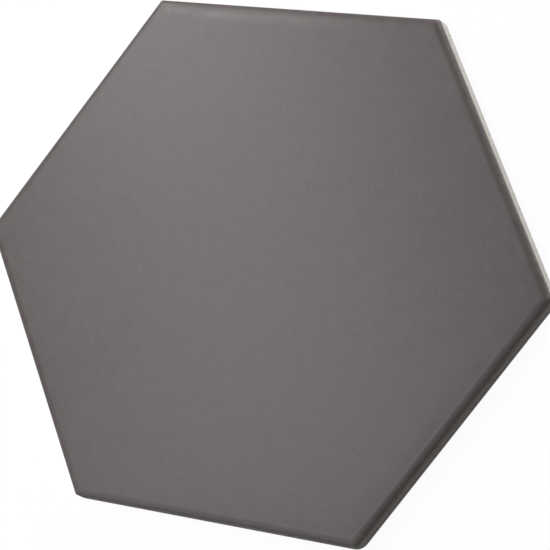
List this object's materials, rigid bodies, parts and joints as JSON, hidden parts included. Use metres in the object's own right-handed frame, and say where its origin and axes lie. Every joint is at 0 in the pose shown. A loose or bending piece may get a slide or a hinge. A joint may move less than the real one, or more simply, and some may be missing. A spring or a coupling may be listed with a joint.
{
  "type": "hexagon tile",
  "caption": "Flat hexagonal ceramic tile with a dark grey satin glaze over the face and cushion edge, and pale unglazed sides and back.",
  "frame": {"origin": "middle of the back face, at the height of the surface that the tile lies on", "axes": "+Z out of the glazed face, +X through a corner, +Y across two flats"},
  "size_m": [0.2014, 0.175, 0.0078],
  "materials": {
    "glazed_tile": "satin"
  },
  "bodies": {
    "root": {"hexagon_tile": "glazed_tile"}
  },
  "joints": []
}
